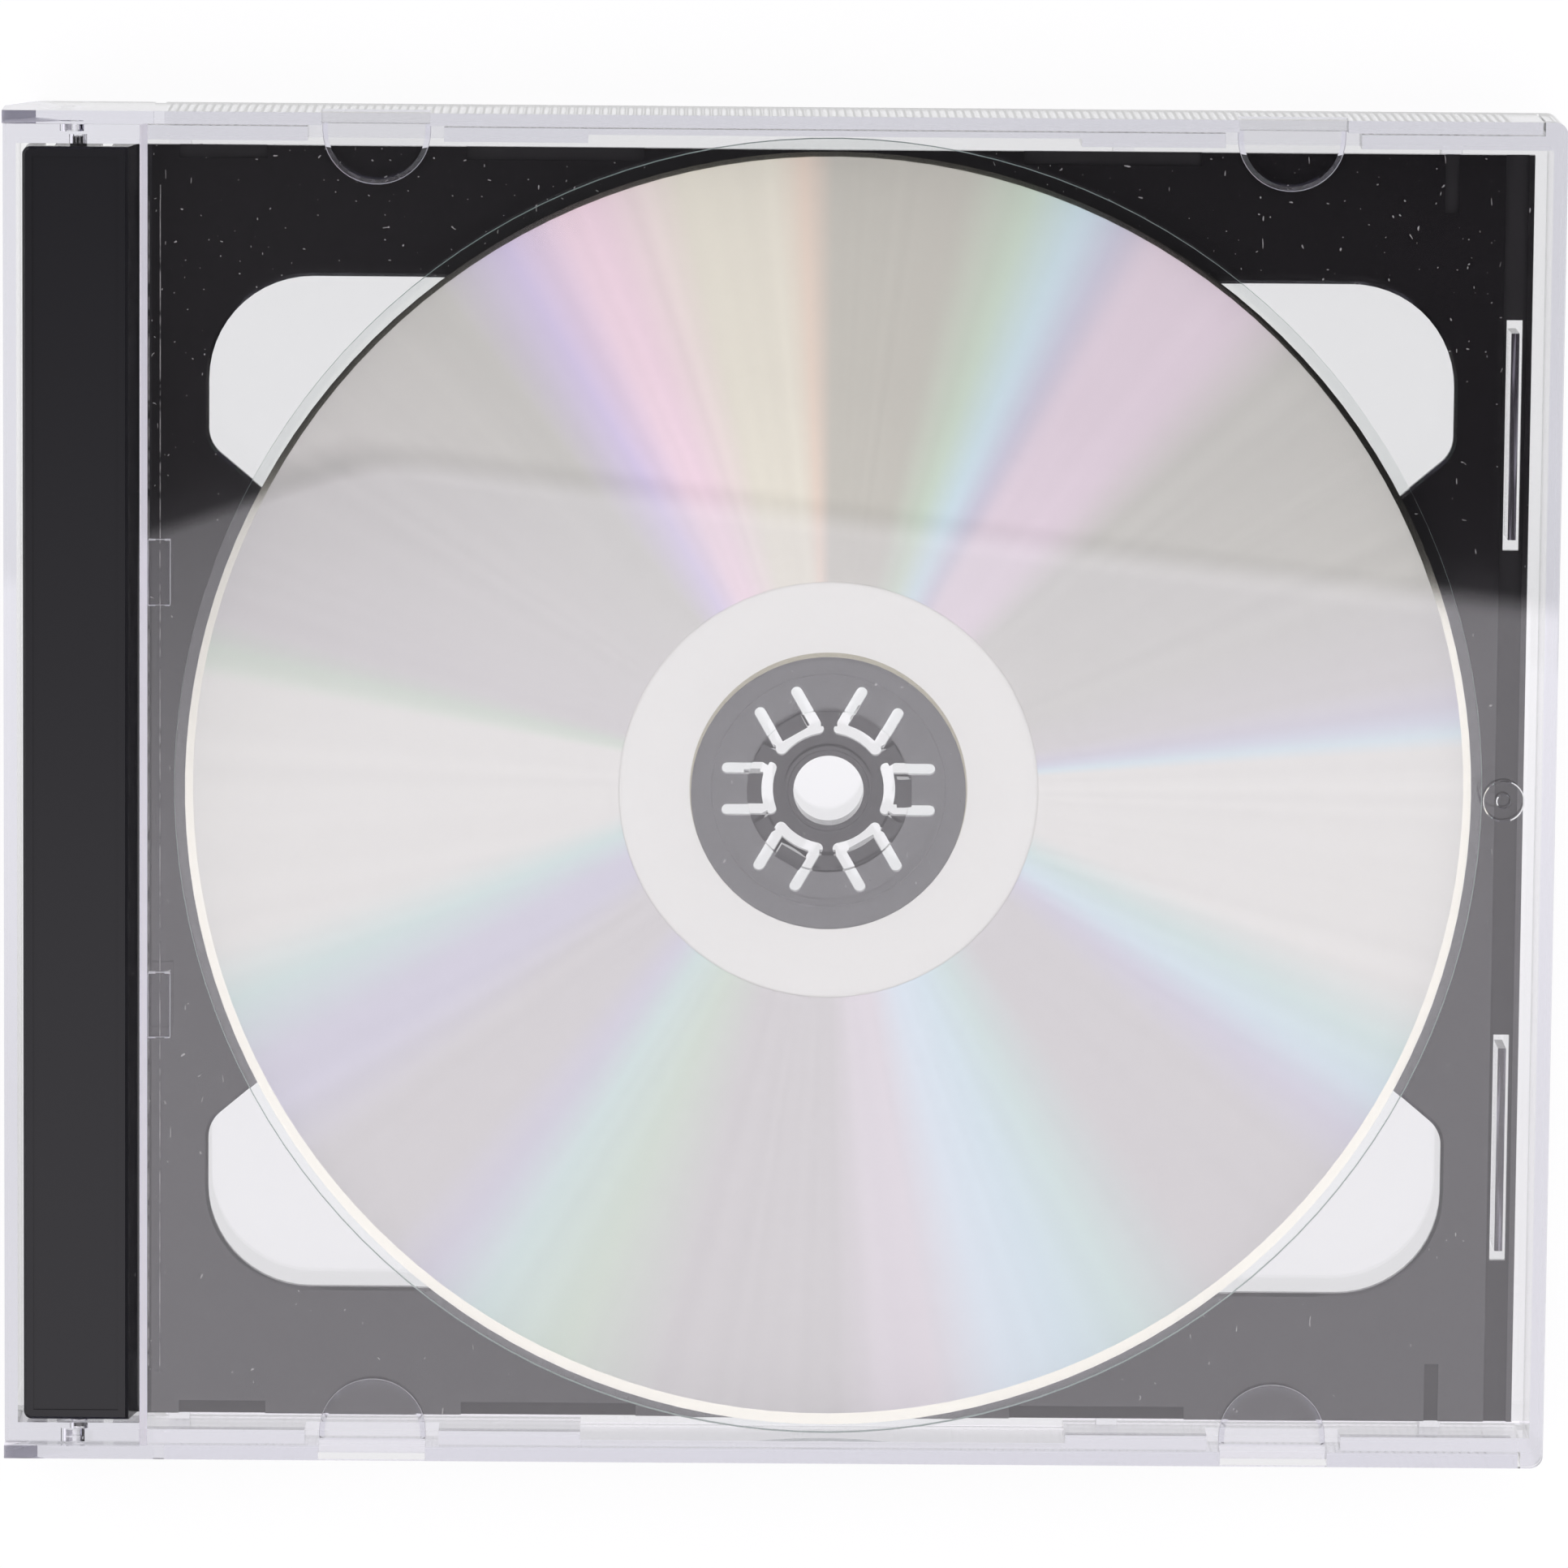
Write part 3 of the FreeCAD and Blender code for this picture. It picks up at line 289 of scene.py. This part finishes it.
# %% Dust
def add_specks(tree, place, cell, shape, share, size):
    """Mask of specks: one in some cells of a Voronoi pattern. Shape is (stretch, turn)."""
    stretched = add(tree, "Mapping", {
        "Vector": place, "Rotation": (0, 0, shape[1]),
        "Scale": (1 / cell, 1 / (cell * shape[0]), 0)})
    bent = add(tree, "TexNoise", {"Vector": stretched.outputs[0], "Scale": 1.3, "Detail": 1.0})
    moved = add(tree, "VectorMath", {0: stretched.outputs[0], 1: bent.outputs["Color"]},
                operation="ADD")
    cells = add(tree, "TexVoronoi", {"Vector": moved.outputs[0], "Scale": 1.0},
                voronoi_dimensions="2D")
    chance = add(tree, "SeparateXYZ", {0: cells.outputs["Color"]})
    there = add(tree, "Math", {0: chance.outputs["X"], 1: share}, operation="LESS_THAN")
    reach = add(tree, "Math", {0: chance.outputs["Y"], 1: size}, operation="MULTIPLY")
    reach = add(tree, "Math", {0: reach.outputs[0], 1: there.outputs[0]},
                operation="MULTIPLY")
    mask = add(tree, "Math", {0: cells.outputs["Distance"], 1: reach.outputs[0]},
               operation="LESS_THAN")
    return mask.outputs[0]


# %% [markdown]
# Beside the spine the picture shows two fine pale lines, most likely edges on the lid.
# The solids have no edges there, so the lines are painted on the tray as painted highlights of
# those edges. Noise breaks them here and there.

# %% Hairlines, painted as highlights
HAIRLINES = (-57.9, -56.85)
HAIRLINE_HALF = 0.045
HAIRLINES_MIDDLE = 0.35
HAIRLINES_REACH = 54.8
PATCH = 1.2
print("two hairlines,", 2 * HAIRLINES_REACH, "mm long, at X =", HAIRLINES, "mm")


def add_edge_highlights(tree, place):
    """Mask of two fine painted highlight lines along the spine, broken here and there."""
    axes = add(tree, "SeparateXYZ", {0: place})
    patchy = add(tree, "TexNoise", {"Vector": place, "Scale": 1 / (PATCH * MM)})
    patchy = add(tree, "MapRange", {"Value": patchy.outputs[0], "From Min": 0.35,
                                    "From Max": 0.6})
    reach = add(tree, "Math", {0: axes.outputs["Y"], 1: HAIRLINES_MIDDLE * MM,
                               2: HAIRLINES_REACH * MM}, operation="COMPARE")
    first, second = [add(tree, "Math", {0: axes.outputs["X"], 1: x * MM,
                                         2: HAIRLINE_HALF * MM},
                         operation="COMPARE") for x in HAIRLINES]
    lines = add(tree, "Math", {0: first.outputs[0], 1: second.outputs[0]},
                operation="MAXIMUM")
    for mask in (reach, patchy):
        lines = add(tree, "Math", {0: lines.outputs[0], 1: mask.outputs[0]},
                    operation="MULTIPLY")
    return lines.outputs[0]


# %% [markdown]
# Two fine rings round the hub are dull. The outer one stands for the mould ring in the
# disc, which the solid has but which hardly shows through the plastic. The inner one
# follows a fine line near the hub's hole in the picture. Both are painted on the tray.

# %% Rings round the hub
HUB_RINGS = (10.75, 3.75)
RING_HALF = 0.06
print("rings of radius", HUB_RINGS, "mm round the hub")


def add_rings(tree, place):
    """Mask of two fine rings round the hub's axis."""
    centred = add(tree, "Mapping", {"Vector": place, "Location": (-DISC_X, 0, 0),
                                    "Scale": (1, 1, 0)})
    radius = add(tree, "VectorMath", {0: centred.outputs[0]}, operation="LENGTH")
    outer, inner = [add(tree, "Math", {0: radius.outputs["Value"], 1: ring * MM,
                                       2: RING_HALF * MM}, operation="COMPARE")
                    for ring in HUB_RINGS]
    rings = add(tree, "Math", {0: outer.outputs[0], 1: inner.outputs[0]},
                operation="MAXIMUM")
    return rings.outputs[0]


# %% [markdown]
# All these masks meet in one material: where they are 1, the black turns to a dull grey.
# There is more dust in the upper part, as in the picture.

# %% Black plastic, polished
SPECK_CELL = 1.5
SPECK_SIZE = 0.06
DUSTY_Y = (25, 45)
DUSTY_SHARE = (0.15, 0.6)
FIBRE_CELL = 0.6
FIBRE_SHAPES = ((5, 0.5), (5, -0.9))
FIBRE_SHARE = 0.03
FIBRE_SIZE = 0.08


def make_polished():
    material, tree, output = new_material("black_polystyrene_polished")
    place = add(tree, "TexCoord").outputs["Object"]
    height = add(tree, "SeparateXYZ", {0: place}).outputs["Y"]
    share = add(tree, "MapRange", {
        "Value": height, "From Min": DUSTY_Y[0] * MM, "From Max": DUSTY_Y[1] * MM,
        "To Min": DUSTY_SHARE[0], "To Max": DUSTY_SHARE[1]}).outputs["Result"]
    specks = add_specks(tree, place, SPECK_CELL * MM, (1, 0), share, SPECK_SIZE)
    fibres, strays = [add_specks(tree, place, FIBRE_CELL * MM, shape, FIBRE_SHARE,
                                 FIBRE_SIZE) for shape in FIBRE_SHAPES]
    dust_and_edge_highlights = add(tree, "Math", {0: specks, 1: fibres}, operation="MAXIMUM")
    dust_and_edge_highlights = add(tree, "Math", {0: dust_and_edge_highlights.outputs[0], 1: strays}, operation="MAXIMUM")
    # The two lines beside the spine are painted highlights of edges, not dust.
    dust_and_edge_highlights = add(tree, "Math", {0: dust_and_edge_highlights.outputs[0], 1: add_edge_highlights(tree, place)},
               operation="MAXIMUM")
    colour = add(tree, "Mix", {0: dust_and_edge_highlights.outputs[0], 6: linear("#141314"),
                               7: linear("#8C8B88")}, data_type="RGBA")
    dull = add(tree, "Math", {0: dust_and_edge_highlights.outputs[0], 1: add_rings(tree, place)},
               operation="MAXIMUM")
    rough = add(tree, "MapRange", {"Value": dull.outputs[0], "To Min": 0.04, "To Max": 0.8})
    body = add(tree, "BsdfPrincipled", {
        "Base Color": colour.outputs[2], "Roughness": rough.outputs[0],
        "IOR": POLYSTYRENE_IOR})
    tree.links.new(body.outputs[0], output.inputs["Surface"])
    return material


dress("disc_tray", make_polished())

# %% [markdown]
# The strip along the spine and the floors of the shallow steps look as if they were
# moulded against etched steel. The strip has a fine satin surface that blurs the studio,
# and the steps' floors are rougher and duller than the plate around them. Their IORs are
# lower than polystyrene's 1.59. They are matched to the picture and not to the plastic.

# %% Black plastic, satin and etched
STRIP_EDGE = -58.94
STEP_FLOOR = 4.85
NEAR = 0.02


def make_plain_black(name, colour, roughness, ior):
    material, tree, output = new_material(name)
    body = add(tree, "BsdfPrincipled", {
        "Base Color": linear(colour), "Roughness": roughness, "IOR": ior})
    tree.links.new(body.outputs[0], output.inputs["Surface"])
    return material


satin = make_plain_black("black_polystyrene_satin", "#121215", 0.18, 1.44)
etched = make_plain_black("black_polystyrene_etched", "#141314", 0.5, 1.3)
dress_faces("disc_tray", satin, lambda middle, normal: middle.x < STRIP_EDGE)
dress_faces("disc_tray", etched, lambda middle, normal: (
    normal.z > 0.9 and abs(middle.z - STEP_FLOOR) < NEAR))

# %% [markdown]
# The data side of a disc is a silver film under clear plastic. Its spiral of pits splits
# white light, so that every lamp draws a fan of colours that stands out from the hub.
# Real fans move with the eye. These are painted by the angle round the hub, as the
# picture shows them, with one colour ramp for the lower half turn and one for the upper.
# The picture's lower fans bend a little, so here they turn round a point just above the
# hub's axis.

# %% Colours of the fans
GREY = "#DAD6D5"
WARM_GREY = "#D6D4CE"
CREAM = "#F2F0EA"
WARM_CREAM = "#F5F0E1"
GREEN = "#D8E6D4"
CYAN = "#D7EBE6"
BLUE = "#DCEFF6"
ICE = "#E6F3FC"
LAVENDER = "#D9D5E4"
VIOLET = "#E2D6F1"
ROSE = "#EBE3E8"
PINK = "#FFE6F0"
DUSK_PINK = "#EEDFE8"
ORANGE = "#FBE4D4"
OLIVE = "#D5D2C8"
LOWER_FANS = [
    (-180, CREAM), (-161, CREAM), (-156, CYAN), (-150, LAVENDER), (-146, LAVENDER),
    (-140, GREY), (-131, GREY), (-126, LAVENDER), (-121, CYAN), (-113, GREEN),
    (-104, GREY), (-89, GREY), (-84, ROSE), (-80, ROSE), (-74, ICE), (-68, BLUE),
    (-62, CYAN), (-54, GREY), (-41, GREY), (-36, LAVENDER), (-32, BLUE), (-28, CYAN),
    (-23, CREAM), (0, CREAM),
]
UPPER_FANS = [
    (0, CREAM), (4.8, CREAM), (5.8, BLUE), (7.5, LAVENDER), (11, GREY), (20, WARM_GREY),
    (44, WARM_GREY), (50, DUSK_PINK), (60, DUSK_PINK), (63, LAVENDER), (67, BLUE),
    (72, GREEN), (78, OLIVE), (91, OLIVE), (92, ORANGE), (95, WARM_CREAM),
    (104, WARM_CREAM), (112, PINK), (115, PINK), (121, VIOLET), (128, WARM_GREY),
    (165, GREY), (168, GREEN), (170, CREAM), (180, CREAM),
]
FANS_RISE = 4.2
print("colour stops:", len(LOWER_FANS), "in the lower fans,", len(UPPER_FANS), "in the upper")


def add_turn(tree, place, rise):
    """Angle round the hub's axis, or round a point a little above it, as a share of a turn."""
    centred = add(tree, "Mapping", {"Vector": place, "Location": (-DISC_X, -rise, 0)})
    turn = add(tree, "TexGradient", {0: centred.outputs[0]}, gradient_type="RADIAL")
    return turn.outputs["Fac"]


def fan_ramp(tree, turn, fans):
    """Colour ramp over one turn, with a stop for each angle in degrees."""
    ramp = add(tree, "ValToRGB", {0: turn})
    stops = ramp.color_ramp.elements
    stops[0].color = linear(fans[0][1])
    stops[1].color = linear(fans[-1][1])
    for angle, colour in fans:
        stops.new((angle + 180) / 360).color = linear(colour)
    return ramp.outputs["Color"]


# %% [markdown]
# The lid over the disc mirrors the bright studio in the picture's lower part and a dark
# gap in its upper part. The picture shows little of that step on the disc, so the film is
# painted darker below the border of the gap's mirror image. This is matched to the one
# picture and has no cause on a real film, and it stays put from other angles. The stops
# say how bright the film is at a distance from that border, in millimetres.

# %% Light and dark part of the film
SHADE_REACH = 12.0
SHADE_TOP = 1.1
SHADE = [(-12, 0.77), (-1.7, 0.725), (2.1, 1.05), (12, 1.0)]
SHADE_ENDS = (0.7, 0.91)
SHADE_BLUE = 0.97
LONG_BORDER = (0.125, -25.6)
TURNED_BORDER = (-0.345, -44.4)
CORNER = (TURNED_BORDER[1] - LONG_BORDER[1]) / (LONG_BORDER[0] - TURNED_BORDER[0])
print("the border turns down at X =", round(CORNER, 1), "mm")


def add_shade(tree, place):
    """Colour that the film's fans are multiplied with."""
    axes = add(tree, "SeparateXYZ", {0: place})
    straight, turned = [
        add(tree, "Math", {0: axes.outputs["X"], 1: slope, 2: start * MM},
            operation="MULTIPLY_ADD") for slope, start in (LONG_BORDER, TURNED_BORDER)]
    border = add(tree, "Math", {0: straight.outputs[0], 1: turned.outputs[0]},
                 operation="MAXIMUM")
    height = add(tree, "Math", {0: axes.outputs["Y"], 1: border.outputs[0]}, operation="ADD")
    across = add(tree, "MapRange", {
        "Value": height.outputs[0], "From Min": -SHADE_REACH * MM,
        "From Max": SHADE_REACH * MM})
    ramp = add(tree, "ValToRGB", {0: across.outputs["Result"]})
    stops = ramp.color_ramp.elements
    for stop, share in zip(stops, SHADE_ENDS):
        stop.color = (share, share, SHADE_BLUE * share, 1)
    for distance, level in SHADE:
        share = level / SHADE_TOP
        stop = stops.new(0.5 + 0.5 * distance / SHADE_REACH)
        stop.color = (share, share, SHADE_BLUE * share, 1)
    shade = add(tree, "VectorMath", {0: ramp.outputs["Color"], "Scale": SHADE_TOP},
                operation="SCALE")
    return shade.outputs[0]


# %% [markdown]
# The film itself takes the fans, the shade and fine streaks along the radius. It is a
# rough plain surface and not a mirror, so that the painted colours stay put.

# %% Silver film
STREAKS_PER_TURN = 160.0
STREAKS = (0.965, 1.035)
FILM_ROUGHNESS = 0.4


def make_film():
    material, tree, output = new_material("silver_film")
    place = add(tree, "TexCoord").outputs["Object"]
    turn = add_turn(tree, place, 0)
    upper = add(tree, "Math", {0: turn, 1: 0.5}, operation="GREATER_THAN")
    lower_fans = fan_ramp(tree, add_turn(tree, place, FANS_RISE * MM), LOWER_FANS)
    colour = add(tree, "Mix", {0: upper.outputs[0], 6: lower_fans,
                               7: fan_ramp(tree, turn, UPPER_FANS)}, data_type="RGBA")
    colour = add(tree, "VectorMath", {0: colour.outputs[2], 1: add_shade(tree, place)},
                 operation="MULTIPLY")
    fine_turn = add(tree, "Math", {0: turn, 1: STREAKS_PER_TURN},
                    operation="MULTIPLY")
    streaks = add(tree, "TexNoise", {"W": fine_turn.outputs[0], "Scale": 1.0, "Detail": 3.0},
                  noise_dimensions="1D")
    streaks = add(tree, "MapRange", {"Value": streaks.outputs[0], "From Min": 0.2,
                                     "From Max": 0.8, "To Min": STREAKS[0],
                                     "To Max": STREAKS[1]})
    colour = add(tree, "VectorMath", {0: colour.outputs[0], "Scale": streaks.outputs[0]},
                 operation="SCALE")
    body = add(tree, "BsdfPrincipled", {
        "Base Color": colour.outputs[0], "Roughness": FILM_ROUGHNESS})
    tree.links.new(body.outputs[0], output.inputs["Surface"])
    return material


dress("disc_reflective_film", make_film())

# %% [markdown]
# The coat of white print on the far side shows as a ring inside the film. It is matte
# ink, and its inner edge is painted as a thin olive fringe, as in the picture. Past the
# film, the picture shows a pale crescent in the lower part and a dark line in the upper
# part. On the real disc they probably come from a print that is a little smaller and
# further off centre than this solid. A mirror on the rim gives their look.

# %% White print
SILVER_RIM = 58.2
INK_FRINGE = 12.75


def make_print():
    material, tree, output = new_material("white_print_ink")
    place = add(tree, "TexCoord").outputs["Object"]
    centred = add(tree, "Mapping", {"Vector": place, "Location": (-DISC_X, 0, 0),
                                    "Scale": (1, 1, 0)})
    radius = add(tree, "VectorMath", {0: centred.outputs[0]}, operation="LENGTH")
    rim = add(tree, "Math", {0: radius.outputs["Value"], 1: SILVER_RIM * MM},
              operation="GREATER_THAN")
    fringe = add(tree, "Math", {0: radius.outputs["Value"], 1: INK_FRINGE * MM},
                 operation="LESS_THAN")
    ink = add(tree, "Mix", {0: fringe.outputs[0], 6: linear("#DCDBD3"),
                            7: linear("#9A9478")}, data_type="RGBA")
    colour = add(tree, "Mix", {0: rim.outputs[0], 6: ink.outputs[2],
                               7: linear("#F0ECDF")}, data_type="RGBA")
    rough = add(tree, "MapRange", {"Value": rim.outputs[0], "To Min": 0.7, "To Max": 0.03})
    body = add(tree, "BsdfPrincipled", {
        "Base Color": colour.outputs[2], "Roughness": rough.outputs[0],
        "Metallic": rim.outputs[0]})
    tree.links.new(body.outputs[0], output.inputs["Surface"])
    return material


dress("disc_white_print", make_print())

# %% [markdown]
# The disc's layers touch in the solids. Two faces in one plane confuse a ray, so each
# layer shrinks by a hundredth of a millimetre.

# %% A hair of air between touching faces
HAIR = 0.01

for name in ("disc_substrate", "disc_reflective_film", "disc_white_print"):
    shrink = nodes[name].modifiers.new("hair_of_air", "DISPLACE")
    shrink.mid_level = 0.0
    shrink.strength = -HAIR * MM
print("each layer of the disc shrinks by", HAIR, "mm")

# %% [markdown]
# The studio is a bright tent with one dark gap overhead, where the camera looks in. The
# case mirrors the tent in its lower part and the gap in its upper part, so the gap's edge
# draws the soft line across the picture. It is drawn by direction: X over Z and Y over Z
# are where a direction meets a ceiling one unit above the case. The gap's outline, its
# levels and its fades are matched to the mirror image in the picture. The camera itself
# sees plain white.

# %% Studio
TENT = 1.42
GAP_LEVELS = (0.07, 0.02)
GAP_TURNS = (-0.04, 0.07)
LONG_SIDE = (-0.118, -0.1195)
CUT_CORNER = (0.345, -0.1066)
CORNER_ROUND = 0.004
EDGE_SOFT = 0.0016
FAR_SIDE = (0.22, 0.12)
LEFT_SIDE = (-0.35, -0.25)
RIGHT_SIDE = (0.35, 0.25)
SLOW_DEPTH = 0.035
SLOW_REACH = -0.04
SLOW_SHARE = 0.3


def make_studio():
    world = bpy.data.worlds.new("studio")
    bpy.context.scene.world = world
    world.use_nodes = True
    tree = world.node_tree
    tree.nodes.clear()
    output = add(tree, "OutputWorld")
    way = add(tree, "SeparateXYZ", {0: add(tree, "TexCoord").outputs["Generated"]})
    up = add(tree, "Math", {0: way.outputs["Z"], 1: 0.05}, operation="MAXIMUM")
    across = add(tree, "Math", {0: way.outputs["X"], 1: up.outputs[0]},
                 operation="DIVIDE").outputs[0]
    along = add(tree, "Math", {0: way.outputs["Y"], 1: up.outputs[0]},
                operation="DIVIDE").outputs[0]

    long_side, cut_corner = [
        add(tree, "Math", {0: across, 1: slope, 2: start}, operation="MULTIPLY_ADD")
        for slope, start in (LONG_SIDE, CUT_CORNER)]
    edge = add(tree, "Math", {0: long_side.outputs[0], 1: cut_corner.outputs[0],
                              2: CORNER_ROUND}, operation="SMOOTH_MIN")
    above = add(tree, "Math", {0: along, 1: edge.outputs[0]}, operation="SUBTRACT")

    def fade(source, start, end):
        return add(tree, "MapRange", {"Value": source, "From Min": start, "From Max": end},
                   interpolation_type="SMOOTHSTEP").outputs["Result"]

    near_side = fade(above.outputs[0], -EDGE_SOFT, EDGE_SOFT)
    far_side = fade(along, *FAR_SIDE)
    left_side = fade(across, *LEFT_SIDE)
    right_side = fade(across, *RIGHT_SIDE)
    slow = add(tree, "Math", {0: fade(above.outputs[0], -SLOW_DEPTH, 0.0),
                              1: fade(across, 0.0, SLOW_REACH)}, operation="MULTIPLY")
    slow = add(tree, "Math", {0: slow.outputs[0], 1: SLOW_SHARE}, operation="MULTIPLY")
    share = add(tree, "Math", {0: near_side, 1: slow.outputs[0]},
                operation="MAXIMUM").outputs[0]
    for side in (far_side, left_side, right_side):
        share = add(tree, "Math", {0: share, 1: side}, operation="MULTIPLY").outputs[0]
    gap = add(tree, "MapRange", {
        "Value": across, "From Min": GAP_TURNS[0], "From Max": GAP_TURNS[1],
        "To Min": GAP_LEVELS[0], "To Max": GAP_LEVELS[1]})
    level = add(tree, "Mix", {0: share, 2: TENT, 3: gap.outputs["Result"]},
                data_type="FLOAT")

    low = fade(way.outputs["Z"], 0.3, 0.0)
    tone = add(tree, "Mix", {0: low, 6: linear("#FDF9FF"), 7: linear("#C9C8DC")},
               data_type="RGBA")
    upper_half = fade(way.outputs["Z"], -0.06, -0.02)
    level = add(tree, "Math", {0: level.outputs[0], 1: upper_half}, operation="MULTIPLY")
    tent = add(tree, "Background", {"Strength": level.outputs[0], "Color": tone.outputs[2]})
    plain = add(tree, "Background", {"Strength": 1.0, "Color": (1, 1, 1, 1)})
    path = add(tree, "LightPath")
    seen = add(tree, "MixShader", {0: path.outputs["Is Camera Ray"], 1: tent.outputs[0],
                                   2: plain.outputs[0]})
    tree.links.new(seen.outputs[0], output.inputs["Surface"])


make_studio()
print("the studio's tent has strength", TENT, "and its gap", GAP_LEVELS)


# %% [markdown]
# The floor is a white table. The camera sees it nearly white with a faint shadow. Clear
# plastic shows it more evenly, with a painted shade: darker behind the picture's lower part.
# That painted shade offsets the bright studio that the lid mirrors there, and is matched to
# the one picture.

# %% Floor
FLOOR_DROP = 0.2
FLOOR_HALF = 3.0
EVEN = 0.9
EVEN_THROUGH_PLASTIC = 0.08
FLOOR_TURNS = (0.03, -0.03)
FLOOR_LEVELS = (1.02, 0.82)


def make_floor():
    mesh = bpy.data.meshes.new("floor")
    shape = bmesh.new()
    bmesh.ops.create_grid(shape, x_segments=1, y_segments=1, size=FLOOR_HALF)
    shape.to_mesh(mesh)
    shape.free()
    floor = bpy.data.objects.new("floor", mesh)
    floor.location.z = -FLOOR_DROP * MM
    bpy.context.scene.collection.objects.link(floor)
    material, tree, output = new_material("white_table")
    path = add(tree, "LightPath")
    seen = add(tree, "Math", {0: path.outputs["Is Camera Ray"],
                              1: path.outputs["Is Glossy Ray"]}, operation="MAXIMUM")
    seen = add(tree, "Math", {0: seen.outputs[0],
                              1: path.outputs["Is Transmission Ray"]}, operation="MAXIMUM")
    share = add(tree, "Math", {0: seen.outputs[0], 1: EVEN}, operation="MULTIPLY")
    share = add(tree, "Math", {0: path.outputs["Is Transmission Ray"],
                               1: EVEN_THROUGH_PLASTIC, 2: share.outputs[0]},
                operation="MULTIPLY_ADD")
    place = add(tree, "SeparateXYZ", {0: add(tree, "TexCoord").outputs["Object"]})
    # Painted shade: what clear plastic shows of the floor is darker towards the lower part.
    painted_shade = add(tree, "MapRange", {
        "Value": place.outputs["Y"], "From Min": FLOOR_TURNS[0],
        "From Max": FLOOR_TURNS[1], "To Min": FLOOR_LEVELS[0], "To Max": FLOOR_LEVELS[1]})
    lit = add(tree, "Mix", {0: path.outputs["Is Transmission Ray"], 2: 1.0,
                            3: painted_shade.outputs[0]}, data_type="FLOAT")
    plain = add(tree, "BsdfDiffuse", {"Color": linear("#F4F4F4")})
    glow = add(tree, "Emission", {"Color": (1, 1, 1, 1), "Strength": lit.outputs[0]})
    mixed = add(tree, "MixShader", {0: share.outputs[0], 1: plain.outputs[0],
                                    2: glow.outputs[0]})
    tree.links.new(mixed.outputs[0], output.inputs["Surface"])
    mesh.materials.append(material)


make_floor()
print("the floor is", 2 * FLOOR_HALF, "m wide and lies", FLOOR_DROP, "mm down")

# %% [markdown]
# The camera stands almost above the case, a metre away, with a long lens. Its place was
# worked out from the known size of the disc and the case in the picture.

# %% Camera
LENS = 244.65
CAMERA_PLACE = (-10.012, 142.293, 974.221)
CAMERA_TURN = {"X": -8.333, "Y": -0.611, "Z": 0.428}

camera_data = bpy.data.cameras.new("camera")
camera_data.sensor_width = 36.0
camera_data.lens = LENS
camera_data.clip_start = 0.05
camera = bpy.data.objects.new("camera", camera_data)
turned = Matrix.Identity(3)
for axis, degrees in CAMERA_TURN.items():
    turned = turned @ Matrix.Rotation(math.radians(degrees), 3, axis)
camera.matrix_world = Matrix.Translation(Vector(CAMERA_PLACE) * MM) @ turned.to_4x4()
bpy.context.scene.collection.objects.link(camera)
bpy.context.scene.camera = camera
bpy.context.scene.view_settings.view_transform = "Standard"
print("the camera is", round(Vector(CAMERA_PLACE).length), "mm away")
